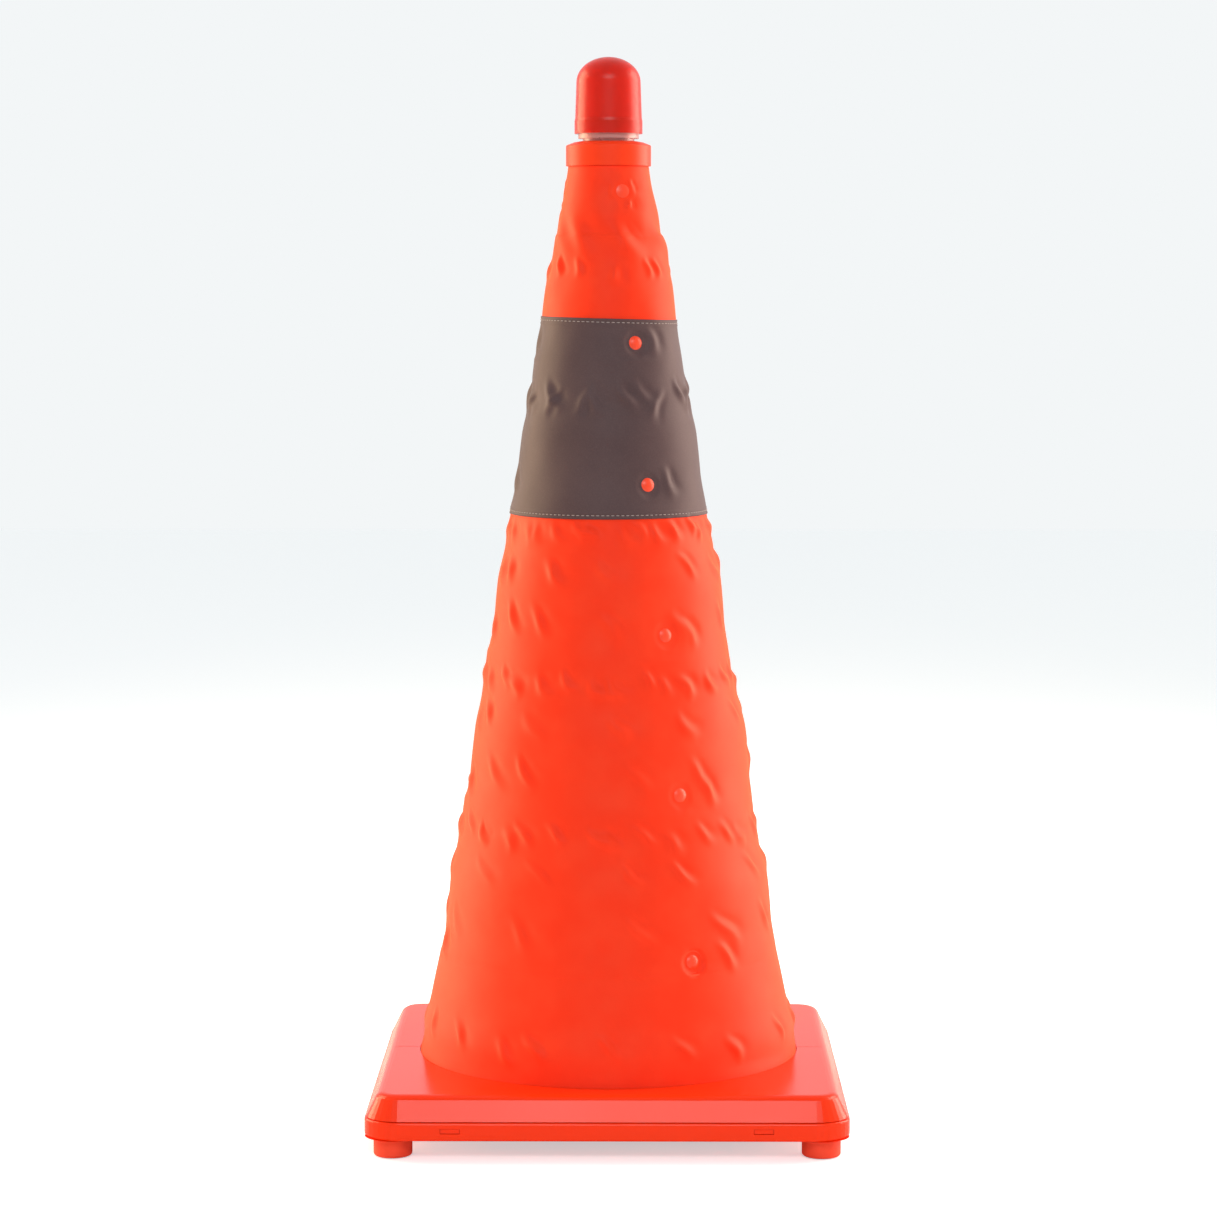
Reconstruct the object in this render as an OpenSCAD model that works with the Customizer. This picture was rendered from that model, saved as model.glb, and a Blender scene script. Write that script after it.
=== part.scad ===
// Collapsible safety cone: a square base tray, twelve nesting conical tubes under a cloth cover,
// and a lift-out warning lamp in the top collar. Millimetres, +Z up, front towards -Y.
// The origin is the centre of the footprint, on the surface that the feet stand on.

/* [Cone] */
// Height of the collar's top face above the floor
cone_h = 700; // [560:1:860]
// Radius of the round hole in the base cover that the cloth drops through
cone_foot_r = 137.9; // [110:0.1:170]
// Outer radius of the top tube, carried up to the collar's top face
top_r = 26; // [21:0.1:31]
// How far the fixed tube narrows from its foot to its mouth
ring_flare = 16.5; // [10:0.1:24]
// Height of the fixed tube's mouth above the floor
ring_mouth_z = 118.1; // [98:0.1:142]
// How much longer each tube is than the one above it
pitch_growth = 0.3; // [0:0.05:1]

/* [Tubes] */
// Wall of every telescoping tube
tube_wall = 1.5; // [1.2:0.1:2]
// Length of each tube that stays inside the mouth of the next
overlap = 12; // [9:0.5:16]
// Radial gap between a tube's foot and the mouth around it
nest_fit = 0.3; // [0.2:0.05:0.5]

/* [Cloth cover] */
// Thickness of the woven cover
cloth_t = 0.6; // [0.4:0.05:0.8]
// Gap between the cover and the tube behind it
cloth_gap = 0.2; // [0.1:0.05:0.4]
// Depth of the reflective band's upper seam below the third tube's mouth
band_drop = 20.2; // [12:0.1:30]
// Depth below a tube's mouth at which its cloth starts
cloth_start = 0.5; // [0.3:0.1:2]

/* [Rivets] */
// Radius of a rivet's domed head
rivet_r = 5; // [4:0.1:6]
// Height of a rivet's head
rivet_head = 1.7; // [1.2:0.1:2]
// Radius of a rivet's shank
rivet_shank = 1.8; // [1.4:0.1:2.4]
// Radius and thickness of the flat tail inside the tube
rivet_tail_r = 3.5; // [2.8:0.1:4.2]
// Thickness of the tail inside the tube
rivet_tail = 0.8; // [0.6:0.1:1]
// Radius of the flat seat that a rivet is sunk into
seat_r = 7.5; // [6.5:0.1:9]
// Rivets around one tube
rivet_count = 3; // [3:1:4]
// Gap between a passing rivet or cloth and the mouth below
pass_gap = 0.4; // [0.3:0.05:0.6]

/* [Base] */
// Width of the base left around the cone's foot
base_margin = 30.5; // [24:0.1:34]
// Corner radius of the tray in plan
corner_r = 24; // [18:0.5:28]
// Height of the tray's underside above the floor
tray_z = 13.7; // [11:0.1:16]
// Height of the tray's rim above its underside
tray_h = 12.9; // [11:0.1:15.5]
// Wall of the tray and of the cover's skirt
tray_wall = 3; // [2.4:0.1:4]
// Thickness of the tray's floor
tray_floor = 2.5; // [2:0.1:3.5]
// Groove between the tray's rim and the cover
parting = 0.6; // [0.4:0.1:1]
// Height of the cover above the parting groove
cover_h = 16.6; // [14:0.1:20]
// Thickness of the cover's shell
cover_t = 2.5; // [2:0.1:3]
// Fillet along the cover's top edge
cover_fillet = 7; // [4:0.1:8]
// How far the cover's side leans in over its height
cover_draft = 5.5; // [2:0.1:7]
// Height of the ribs that the collapsed tubes land on, above the tray's underside
rib_h = 17.6; // [15:0.1:21]
// Thickness of a rib
rib_t = 2.4; // [1.8:0.1:3]
// Ribs around the tray
rib_count = 8; // [6:1:12]
// Space left between the ribs and the collapsed tubes
landing_gap = 0.3; // [0.2:0.1:0.5]
// Distance of each snap window from the middle of its side
snap_x = 108; // [90:1:118]
// Width of a snap window
snap_w = 13.7; // [11:0.1:16]
// Height of a snap window
snap_h = 3.6; // [3:0.1:4.3]
// Gap around a snap tab in its window and between skirt and tray
snap_fit = 0.3; // [0.2:0.05:0.4]

/* [Feet] */
// Radius of a foot
foot_r = 13.5; // [11:0.1:16]
// Distance of each foot from the centre lines
foot_inset = 20; // [19:0.1:26]
// Depth of the pad that each foot is pressed against
foot_pad = 1.4; // [1:0.1:2]
// Radius of the stem that holds a foot in the tray
foot_stem = 4; // [3:0.1:5]

/* [Collar] */
// Rise of the collar's top face towards the lamp
collar_crown = 2.6; // [1:0.1:3.2]
// Wall of the collar's skirt
collar_wall = 1.5; // [1.2:0.1:2.4]
// Height of the collar's skirt with its deck
collar_h = 15; // [12:0.5:18]
// Thickness of the collar's deck
collar_deck = 3; // [2.4:0.1:4]
// Wall of the lamp socket below the deck
socket_wall = 1.6; // [1.2:0.1:2]
// Radial gap around the lamp's stem in its socket
socket_fit = 0.3; // [0.2:0.05:0.5]

/* [Lamp] */
// Space between the lamp's battery stem and the outer face of the top tube
stem_space = 9; // [8:0.1:10]
// Length of the stem below the collar's top face, with its cap
stem_len = 58; // [57:0.5:60]
// Wall of the stem
stem_wall = 1.6; // [1.2:0.1:2]
// Wall of the neck around the stem, between the collar and the flange
neck_wall = 1.5; // [1.2:0.1:3]
// Height of the neck with its gasket
neck_h = 4.5; // [3.5:0.1:6]
// How far the clear flange reaches out from the neck
flange_step = 3.2; // [2:0.1:3.6]
// Height of the flange that shows under the lens
flange_h = 3.5; // [3:0.1:5]
// How much wider than the flange the lens is, above its skirt
lens_over = 1.3; // [1:0.1:3]
// How much wider the lens's skirt is
lens_step = 1.35; // [1:0.05:2]
// How much the lens's side narrows from its skirt to its dome
lens_taper = 0.9; // [0:0.1:1.2]
// Height of the lens's skirt
lens_skirt = 9; // [8:0.1:12]
// Height of the lens below its dome
lens_side = 36.6; // [30:0.1:42]
// Height of the lens's dome
lens_dome = 18; // [12:0.1:23]
// Wall of the lens
lens_wall = 1.6; // [1.2:0.1:1.6]
// Radius of the switch button
button_r = 5; // [4:0.1:6]
// Travel of the switch button
button_travel = 1.2; // [0.8:0.1:1.5]

/* [Hidden] */
$fn = 96;
LAST = 11; // index of the fixed tube, counted from 0 at the top
RIVETED = [0, 2, 4, 6, 8, 10]; // tubes that the cloth is riveted to
RIVET_RISE = [17.9, 14.5, 19.6, 20.2, 15.8, 8.4]; // height of each ring of rivets above the next tube's mouth
RIVET_TURN = [19, 23.5, 25.5, 29.5, 30.5, 30.5]; // turn of each ring from the front, towards +X
EPS = 0.01;

stem_r = top_r - stem_space;
neck_r = stem_r + neck_wall;
flange_r = neck_r + flange_step;
lens_r = flange_r + lens_over;
tray_top = tray_z + tray_h;
floor_z = tray_z + tray_floor;
deck_z = tray_top + parting + cover_h;
stop_z = tray_z + rib_h;
base_half = cone_foot_r + base_margin;
hem_gap = 0.5; // between the cloth and the cover's round hole
ring_foot_r = cone_foot_r - hem_gap - cloth_t - cloth_gap;
ring_mouth_r = cone_foot_r - ring_flare;
step_r = (ring_mouth_r - top_r) / LAST;
pitch = (cone_h - ring_mouth_z - pitch_growth * LAST * (LAST - 1) / 2) / LAST;
ring_wall = 1.8;
flange_out = 13.5; // reach of the fixed tube's flange over the tray's floor
flange_t = 2.5;
screw_r = 1.6;
screw_head = 3.2;
screw_clear = 0.2;
screw_ring_r = ring_foot_r + flange_out / 2;
screw_count = 6;
screw_head_h = 2;
nut_h = 2.4;

function rim_z(k) = cone_h - k * pitch - pitch_growth * k * (k - 1) / 2;
function rim_r(k) = top_r + k * step_r;
function mouth_r(k) = rim_r(k) - tube_wall;
function slope(k) = k < LAST
    ? (mouth_r(k + 1) - nest_fit - rim_r(k)) / (rim_z(k) - rim_z(k + 1))
    : (ring_foot_r - rim_r(LAST)) / (rim_z(LAST) - deck_z);
function tube_r(k, z) = rim_r(k) + slope(k) * (rim_z(k) - z);
function tube_top(k) = k == 0 ? cone_h - collar_deck : rim_z(k);
function tube_foot(k) = rim_z(k + 1) - overlap;
// Lowest point of a moving tube's cloth: below it the cloth would jam in the next mouth
function cloth_end(k) = rim_z(k) - (mouth_r(k + 1) - pass_gap - cloth_t - cloth_gap - rim_r(k)) / slope(k);
function rivet_z(i) = rim_z(RIVETED[i] + 1) + RIVET_RISE[i];
function head_h(i) = i == 0 ? rivet_head / 2 : rivet_head;
// How deep a rivet's seat is sunk, so that its head still passes the next mouth; the top tacks need no seat
function seat_sink(i) = let (k = RIVETED[i], r = tube_r(k, rivet_z(i)))
    i == 0 ? 0 : max(0.5, r + cloth_gap + cloth_t + head_h(i) + pass_gap - mouth_r(k + 1));
// The boss behind a rivet: radius, flat inner face, and outer end just under the tube's curved face
function pad_r(i) = seat_sink(i) > 0 ? seat_r + 1.5 : rivet_tail_r + 1;
function pad_z(i) = -seat_sink(i) - tube_wall - 0.3;
function pad_top(i) = -pow(pad_r(i), 2) / (2 * rim_r(RIVETED[i])) - 0.15;
// Points of a quarter round of radius r about (x, z), from angle a to angle b
function arc(x, z, r, a, b, n = 5) = [for (j = [0:n]) let (t = a + (b - a) * j / n) [x + r * cos(t), z + r * sin(t)]];
function two(n) = n < 10 ? str("0", n) : str(n);

// ---- shared shapes ----

// A square slab with round corners: one corner's profile of [radius, height] points, hulled over four corners
module corner_slab(half, profile) {
    hull()
        for (x = [-1, 1], y = [-1, 1])
            translate([x * (half - corner_r), y * (half - corner_r), 0])
                rotate_extrude($fn = 32)
                    polygon(profile);
}

// A conical ring between two heights, outside radii r_top and r_bot
module cone_ring(r_top, z_top, r_bot, z_bot, wall) {
    rotate_extrude()
        polygon([[r_top - wall, z_top], [r_top, z_top], [r_bot, z_bot], [r_bot - wall, z_bot]]);
}

// Places children on tube k at rivet ring i, +Z pointing out of the tube's face
module at_rivets(i) {
    k = RIVETED[i];
    z = rivet_z(i);
    for (j = [0:rivet_count - 1])
        rotate([0, 0, RIVET_TURN[i] - 90 + j * 360 / rivet_count])
            translate([tube_r(k, z), 0, z])
                rotate([0, 90 - atan(slope(k)), 0])
                    children();
}

// ---- base ----

module base_tray() {
    edge = 1.8;
    color("#f04a2a")
        difference() {
            union() {
                difference() {
                    corner_slab(base_half, concat(
                        [[0, tray_z]],
                        arc(corner_r - edge, tray_z + edge, edge, -90, 0),
                        arc(corner_r - edge, tray_top - edge, edge, 0, 90),
                        [[0, tray_top]]));
                    corner_slab(base_half, [
                        [0, floor_z],
                        [corner_r - tray_wall, floor_z],
                        [corner_r - tray_wall, tray_top + 1],
                        [0, tray_top + 1]]);
                }
                for (p = foot_places())
                    translate([p[0], p[1], tray_z - foot_pad])
                        cylinder(r1 = foot_r + 2, r2 = foot_r + 6, h = foot_pad + EPS);
                for (j = [0:rib_count - 1])
                    rotate([0, 0, (j + 0.5) * 360 / rib_count])
                        translate([20, -rib_t / 2, floor_z - EPS])
                            cube([ring_foot_r - ring_wall - 3 - 20, rib_t, stop_z - floor_z + EPS]);
                translate([0, 0, floor_z - EPS])
                    difference() {
                        cylinder(r = 22, h = stop_z - floor_z - 6);
                        translate([0, 0, -1])
                            cylinder(r = 19.5, h = stop_z);
                    }
            }
            for (p = foot_places())
                translate([p[0], p[1], 0])
                    cylinder(r = foot_stem + 0.1, h = tray_top);
            for (j = [0:screw_count - 1])
                rotate([0, 0, j * 360 / screw_count])
                    translate([screw_ring_r, 0, 0])
                        cylinder(r = screw_r + screw_clear, h = tray_top, $fn = 32);
            snap_places()
                translate([base_half - tray_wall - 1, -snap_w / 2, snap_z()])
                    cube([tray_wall + 2, snap_w, snap_h]);
        }
}

function foot_places() = let (p = base_half - foot_inset) [[-p, -p], [p, -p], [-p, p], [p, p]];
function snap_z() = tray_z + tray_h / 2 - snap_h / 2 + 0.6;

// Two snap places on each of the four sides, children drawn for the +X side
module snap_places() {
    for (a = [0:90:270], y = [-1, 1])
        rotate([0, 0, a])
            translate([0, y * snap_x, 0])
                children();
}

module base_cover() {
    z0 = tray_top + parting;
    reach = corner_r - 1.2;
    top = reach - cover_draft - cover_fillet;
    skirt = corner_r - tray_wall - snap_fit;
    skirt_bot = floor_z + 1.5;
    side_z = deck_z - cover_fillet;
    groove = 0.8;
    color("#f4502e")
        difference() {
            union() {
                difference() {
                    corner_slab(base_half, concat(
                        [[0, z0], [reach, z0]],
                        arc(top, side_z, cover_fillet, 0, 90),
                        [[0, deck_z]]));
                    corner_slab(base_half, concat(
                        [[0, z0 - 1], [reach - cover_t, z0 - 1]],
                        arc(top, side_z - cover_t + 1, max(1, cover_fillet - 1), 0, 90, 3),
                        [[0, side_z - cover_t + max(2, cover_fillet)]]));
                }
                difference() {
                    corner_slab(base_half, [[0, skirt_bot], [skirt, skirt_bot], [skirt, z0 + 2], [0, z0 + 2]]);
                    corner_slab(base_half, [
                        [0, skirt_bot - 1],
                        [skirt - 2, skirt_bot - 1],
                        [skirt - 2, z0 + 3],
                        [0, z0 + 3]]);
                }
                snap_places()
                    translate([base_half - tray_wall - snap_fit - 1, -snap_w / 2 + snap_fit, snap_z() + snap_fit])
                        cube([tray_wall + 1 - 0.4, snap_w - 2 * snap_fit, snap_h - 2 * snap_fit]);
            }
            cylinder(r = cone_foot_r, h = deck_z + 1, $fn = 180);
            for (x = [-1, 1])
                translate([x * (cone_foot_r + base_half) / 2, 0, deck_z])
                    cube([base_half - cone_foot_r + 10, groove, groove], center = true);
        }
}

// The fixed lowest tube, with the flange that screws down to the tray
module base_tube() {
    r = ring_foot_r;
    flange_z = floor_z + flange_t;
    color("#f2552f")
        difference() {
            rotate_extrude($fn = 180)
                polygon([
                    [ring_mouth_r - tube_wall, ring_mouth_z],
                    [ring_mouth_r, ring_mouth_z],
                    [r, deck_z],
                    [r, flange_z],
                    [r + flange_out, flange_z],
                    [r + flange_out, floor_z],
                    [r - ring_wall, floor_z],
                    [r - ring_wall, deck_z]]);
            for (j = [0:screw_count - 1])
                rotate([0, 0, j * 360 / screw_count])
                    translate([screw_ring_r, 0, 0])
                        cylinder(r = screw_r + screw_clear, h = deck_z, $fn = 32);
        }
}

// Screws from below through the tray and the fixed tube's flange, each with a hex nut
module base_screws() {
    color("#8d9095")
        for (j = [0:screw_count - 1])
            rotate([0, 0, j * 360 / screw_count])
                translate([screw_ring_r, 0, 0]) {
                    translate([0, 0, tray_z - screw_head_h])
                        cylinder(r = screw_head, h = screw_head_h, $fn = 32);
                    translate([0, 0, tray_z - EPS])
                        cylinder(r = screw_r, h = tray_floor + flange_t + nut_h, $fn = 32);
                    translate([0, 0, floor_z + flange_t])
                        cylinder(r = screw_head, h = nut_h, $fn = 6);
                }
}

// Strap that clamps the hem of the cloth to the fixed tube under the cover
module hem_clamp() {
    r = cone_foot_r - hem_gap + 0.1;
    h = 8;
    color("#5f6266")
        translate([0, 0, deck_z - cover_t - 3 - h])
            difference() {
                cylinder(r = r + 1, h = h, $fn = 180);
                translate([0, 0, -1])
                    cylinder(r = r, h = h + 2, $fn = 180);
            }
}

module foot(p) {
    h = tray_z - foot_pad;
    edge = 2;
    barb = floor_z + 0.2;
    color("#d9472c")
        translate([p[0], p[1], 0])
            rotate_extrude()
                polygon(concat(
                    [[0, 0]],
                    arc(foot_r - edge, edge, edge, -90, 0),
                    [[foot_r, h], [foot_stem, h], [foot_stem, barb], [foot_stem + 0.9, barb], [foot_stem, barb + 3],
                     [0, barb + 3]]));
}

// ---- telescoping tubes ----

module tube(k) {
    z1 = tube_top(k);
    z0 = tube_foot(k);
    i = search(k, RIVETED);
    color("#f2552f")
        difference() {
            union() {
                cone_ring(tube_r(k, z1), z1, tube_r(k, z0), z0, tube_wall);
                if (len(i) > 0)
                    at_rivets(i[0])
                        translate([0, 0, pad_z(i[0])])
                            cylinder(r = pad_r(i[0]), h = pad_top(i[0]) - pad_z(i[0]), $fn = 48);
            }
            if (len(i) > 0)
                at_rivets(i[0]) {
                    if (seat_sink(i[0]) > 0)
                        translate([0, 0, -seat_sink(i[0])])
                            cylinder(r = seat_r, h = 10, $fn = 48);
                    translate([0, 0, -10])
                        cylinder(r = rivet_shank + 0.1, h = 20, $fn = 32);
                }
        }
}

// ---- cloth cover, one zone for each tube ----

// The cloth over tube k between heights z1 and z0, with a pressed-in disc at each rivet
module cloth(k, z1, z0, shade) {
    off = cloth_gap + cloth_t;
    i = search(k, RIVETED);
    n = len(i) > 0 ? i[0] : -1;
    here = n >= 0 && rivet_z(max(n, 0)) < z1 && rivet_z(max(n, 0)) > z0 - seat_r;
    color(shade)
        if (here) {
            difference() {
                cone_ring(tube_r(k, z1) + off, z1, tube_r(k, z0) + off, z0, cloth_t);
                at_rivets(n)
                    translate([0, 0, -5])
                        cylinder(r = seat_r - 0.2, h = 10, $fn = 48);
            }
            at_rivets(n)
                translate([0, 0, cloth_gap - seat_sink(n)])
                    difference() {
                        cylinder(r = seat_r - 0.4, h = cloth_t, $fn = 48);
                        translate([0, 0, -1])
                            cylinder(r = rivet_shank + 0.1, h = 3, $fn = 32);
                    }
        } else {
            cone_ring(tube_r(k, z1) + off, z1, tube_r(k, z0) + off, z0, cloth_t);
        }
}

// The cloth's lowest zone: down the fixed tube, through the base cover and under the hem clamp
module cloth_hem(shade) {
    off = cloth_gap + cloth_t;
    z1 = ring_mouth_z - cloth_start;
    r1 = tube_r(LAST, z1) + off;
    z0 = deck_z - cover_t - 12;
    color(shade)
        rotate_extrude($fn = 180)
            polygon([
                [r1 - cloth_t, z1],
                [r1, z1],
                [ring_foot_r + off, deck_z],
                [ring_foot_r + off, z0],
                [ring_foot_r + off - cloth_t, z0],
                [ring_foot_r + off - cloth_t, deck_z]]);
}

orange_cloth = "#fc4630";
band_cloth = "#5a4849";
cloth_top = cone_h - collar_deck - 1;
band_top_z = rim_z(2) - band_drop;

module rivets(i) {
    h = head_h(i);
    dome = (rivet_r * rivet_r + h * h) / (2 * h);
    seat = cloth_gap + cloth_t - seat_sink(i);
    tail = pad_z(i);
    color("#f04a2a")
        at_rivets(i) {
            translate([0, 0, seat])
                intersection() {
                    translate([0, 0, h - dome])
                        sphere(r = dome);
                    cylinder(r = rivet_r, h = h + 1);
                }
            translate([0, 0, tail - rivet_tail])
                cylinder(r = rivet_shank, h = seat - tail + rivet_tail + EPS, $fn = 32);
            translate([0, 0, tail - rivet_tail])
                cylinder(r = rivet_tail_r, h = rivet_tail, $fn = 32);
        }
}

// ---- collar and lamp ----

skirt_gap = 0.2;
crown_gap = 0.6;
skirt_in = tube_r(0, cone_h - collar_h) + cloth_gap + cloth_t + skirt_gap;
collar_r = skirt_in + collar_wall;
socket_r = stem_r + socket_fit;
socket_bot = cone_h - stem_len - 4;
stem_bot = cone_h - stem_len;
flange_z = cone_h + neck_h;
lens_z = flange_z + flange_h;
lens_in = lens_r + lens_step - lens_wall;
carrier_z = lens_z + 6;
board_z = carrier_z + 2.5;
board_t = 1.6;
board_r = lens_r - lens_wall - 5.5;
led_ring_r = board_r - 5.5;
gasket_t = 0.8;
cap_t = 4;
battery_r = 5.25;
battery_len = 44.5;
battery_z = stem_bot + cap_t + 4;

module top_collar() {
    edge = 1.2;
    crown_r = neck_r + crown_gap;
    spigot = tube_r(0, cone_h - collar_deck) - tube_wall - 0.2;
    spigot_h = 6;
    deck_bot = cone_h - collar_deck;
    color("#f5532f")
        rotate_extrude()
            polygon(concat(
                [[skirt_in, cone_h - collar_h], [collar_r, cone_h - collar_h]],
                arc(collar_r - edge, cone_h - edge, edge, 0, 80),
                [[(collar_r + crown_r) / 2, cone_h + 0.7 * collar_crown],
                 [crown_r + 1, cone_h + collar_crown],
                 [crown_r, cone_h + collar_crown],
                 [crown_r, cone_h],
                 [socket_r, cone_h],
                 [socket_r, socket_bot + 2],
                 [socket_r - 6, socket_bot + 2],
                 [socket_r - 6, socket_bot],
                 [socket_r + socket_wall, socket_bot],
                 [socket_r + socket_wall, deck_bot],
                 [spigot - socket_wall, deck_bot],
                 [spigot - socket_wall, deck_bot - spigot_h],
                 [spigot, deck_bot - spigot_h],
                 [spigot, deck_bot],
                 [skirt_in, deck_bot]]));
}

// Points of a quarter ellipse from the side at height z to the top, or back down again
function dome(r, h, z, back = false, n = 18) = [
    for (j = [0:n]) let (t = 90 * (back ? n - j : j) / n) [r * cos(t), z + h * sin(t)]
];

module lamp_lens() {
    z1 = lens_z + lens_side;
    r_in = lens_r - lens_wall;
    color("#d92a12", 0.85)
        rotate_extrude()
            polygon(concat(
                [[lens_in, lens_z], [lens_r + lens_step, lens_z],
                 [lens_r + lens_step, lens_z + lens_skirt],
                 [lens_r + lens_taper, lens_z + lens_skirt + 2]],
                dome(lens_r, lens_dome, z1),
                dome(r_in, lens_dome - lens_wall, z1, back = true),
                [[r_in + lens_taper, lens_z + lens_skirt], [lens_in, lens_z + lens_skirt]]));
}

module lamp_flange() {
    bore = stem_r - stem_wall;
    spigot = lens_in - 0.2;
    z0 = cone_h + gasket_t;
    color("#ecb3a8")
        rotate_extrude()
            polygon([
                [stem_r + 0.1, z0],
                [neck_r, z0],
                [neck_r, flange_z],
                [flange_r, flange_z],
                [flange_r, lens_z],
                [spigot, lens_z],
                [spigot, carrier_z],
                [bore, carrier_z],
                [bore, cone_h + 3.2],
                [stem_r + 0.1, cone_h + 3.2]]);
}

module lamp_gasket() {
    color("#2b2b2d")
        translate([0, 0, cone_h])
            difference() {
                cylinder(r = neck_r - 0.2, h = gasket_t);
                translate([0, 0, -1])
                    cylinder(r = stem_r + 0.1, h = gasket_t + 2);
            }
}

module lamp_stem() {
    color("#e8e4e0")
        translate([0, 0, stem_bot + cap_t])
            difference() {
                cylinder(r = stem_r, h = stem_len - cap_t + 3);
                translate([0, 0, -1])
                    cylinder(r = stem_r - stem_wall, h = stem_len + 4);
            }
}

// Dark plate across the lens, with a pointed lug at the front
module led_carrier() {
    r = lens_r - lens_wall - 0.3;
    color("#2a2224")
        difference() {
            union() {
                translate([0, 0, carrier_z])
                    cylinder(r = r, h = 2.5);
                translate([0, 0, board_z - EPS])
                    linear_extrude(height = 2)
                        polygon([[-2.2, -r + 1], [2.2, -r + 1], [0, -r + 4]]);
            }
            translate([0, 0, carrier_z - 1])
                cylinder(r = 4, h = 8);
        }
}

module led_board() {
    color("#2f6b46")
        translate([0, 0, board_z])
            difference() {
                cylinder(r = board_r, h = board_t);
                translate([0, 0, -1])
                    cylinder(r = 1.5, h = 4, $fn = 24);
            }
}

module leds() {
    color("#d8dde0")
        for (j = [0:5])
            rotate([0, 0, j * 60])
                translate([led_ring_r, 0, board_z + board_t]) {
                    cylinder(r = 2.9, h = 1, $fn = 32);
                    cylinder(r = 2.5, h = 6, $fn = 32);
                    translate([0, 0, 6])
                        sphere(r = 2.5, $fn = 32);
                }
}

module batteries() {
    color("#b9bcc0")
        for (x = [-1, 1])
            translate([x * (battery_r + 0.4), 0, battery_z]) {
                cylinder(r = battery_r, h = battery_len - 1);
                translate([0, 0, battery_len - 1 - EPS])
                    cylinder(r = 1.9, h = 1 + EPS, $fn = 32);
            }
}

// A pair of round pads joined by a strip, at height z
module contact(z) {
    color("#c8a552")
        translate([0, 0, z]) {
            for (x = [-1, 1])
                translate([x * (battery_r + 0.4), 0, 0])
                    cylinder(r = 3.6, h = 0.5, $fn = 32);
            translate([-battery_r, -1.5, 0])
                cube([2 * battery_r, 3, 0.5]);
        }
}

module battery_cap() {
    color("#dcd8d4")
        difference() {
            union() {
                translate([0, 0, stem_bot])
                    cylinder(r = stem_r, h = cap_t);
                translate([0, 0, stem_bot + cap_t - EPS])
                    cylinder(r = stem_r - stem_wall - 0.1, h = 2);
            }
            translate([0, 0, stem_bot - 1])
                cylinder(r = button_r + 0.3, h = 12);
            translate([0, 0, stem_bot + 2])
                cylinder(r = button_r + 1.6, h = 12);
        }
}

module switch_button() {
    color("#33363a")
        rotate_extrude()
            polygon([
                [0, stem_bot - 1.5],
                [button_r, stem_bot - 1.5],
                [button_r, stem_bot + 2.2],
                [button_r + 1.1, stem_bot + 2.2],
                [button_r + 1.1, stem_bot + 3.8],
                [0, stem_bot + 3.8]]);
}

base_tray();
base_cover();
base_tube();
base_screws();
hem_clamp();
foot(foot_places()[0]);  // foot_front_left
foot(foot_places()[1]);  // foot_front_right
foot(foot_places()[2]);  // foot_rear_left
foot(foot_places()[3]);  // foot_rear_right
for (k = [0:LAST - 1])
    tube(k);
cloth(0, cloth_top, cloth_end(0), orange_cloth);  // cloth_01
cloth(1, rim_z(1) - cloth_start, cloth_end(1), orange_cloth);  // cloth_02
cloth(2, rim_z(2) - cloth_start, band_top_z + 0.1, orange_cloth);  // cloth_03
cloth(2, band_top_z - 0.1, cloth_end(2), band_cloth);  // cloth_03_band
cloth(3, rim_z(3) - cloth_start, cloth_end(3), band_cloth);  // cloth_04_band
cloth(4, rim_z(4) - cloth_start, cloth_end(4), band_cloth);  // cloth_05_band
for (k = [5:LAST - 1])
    cloth(k, rim_z(k) - cloth_start, cloth_end(k), orange_cloth);
cloth_hem(orange_cloth);  // cloth_12
rivets(0);  // tacks_01
for (i = [1:len(RIVETED) - 1])
    rivets(i);
top_collar();
lamp_lens();
lamp_flange();
lamp_gasket();
lamp_stem();
led_carrier();
led_board();
leds();
batteries();
contact(battery_z + battery_len + 0.1);  // contact_top
contact(battery_z - 0.6);  // contact_bottom
battery_cap();
switch_button();
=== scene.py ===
"""Collapsible safety cone: cloth cover, reflective band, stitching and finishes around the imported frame.

Metres, +Z up, front towards -Y. Angles round the cone are turns from the front towards +X.
"""
import logging
import math
from dataclasses import dataclass, field
from enum import Enum

import bpy
import numpy as np
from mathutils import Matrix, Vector


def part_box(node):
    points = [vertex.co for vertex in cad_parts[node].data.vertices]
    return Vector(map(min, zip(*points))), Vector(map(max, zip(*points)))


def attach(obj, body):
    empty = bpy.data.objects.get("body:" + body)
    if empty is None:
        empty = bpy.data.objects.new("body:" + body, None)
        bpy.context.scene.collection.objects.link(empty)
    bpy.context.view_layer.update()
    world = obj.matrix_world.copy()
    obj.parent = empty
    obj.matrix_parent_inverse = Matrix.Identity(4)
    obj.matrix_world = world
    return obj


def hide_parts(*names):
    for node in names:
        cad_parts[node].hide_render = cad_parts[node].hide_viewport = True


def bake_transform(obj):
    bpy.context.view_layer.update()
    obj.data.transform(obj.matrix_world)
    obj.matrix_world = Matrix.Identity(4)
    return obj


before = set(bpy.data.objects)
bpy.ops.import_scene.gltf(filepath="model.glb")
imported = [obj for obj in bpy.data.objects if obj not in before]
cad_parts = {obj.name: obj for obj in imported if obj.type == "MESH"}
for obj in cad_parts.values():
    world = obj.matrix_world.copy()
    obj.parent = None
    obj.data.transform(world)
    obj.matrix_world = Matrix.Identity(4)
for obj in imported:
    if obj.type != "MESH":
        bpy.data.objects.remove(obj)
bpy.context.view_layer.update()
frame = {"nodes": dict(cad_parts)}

LOG = logging.getLogger("cone")
MM = 0.001
DEG = math.pi / 180


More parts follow.
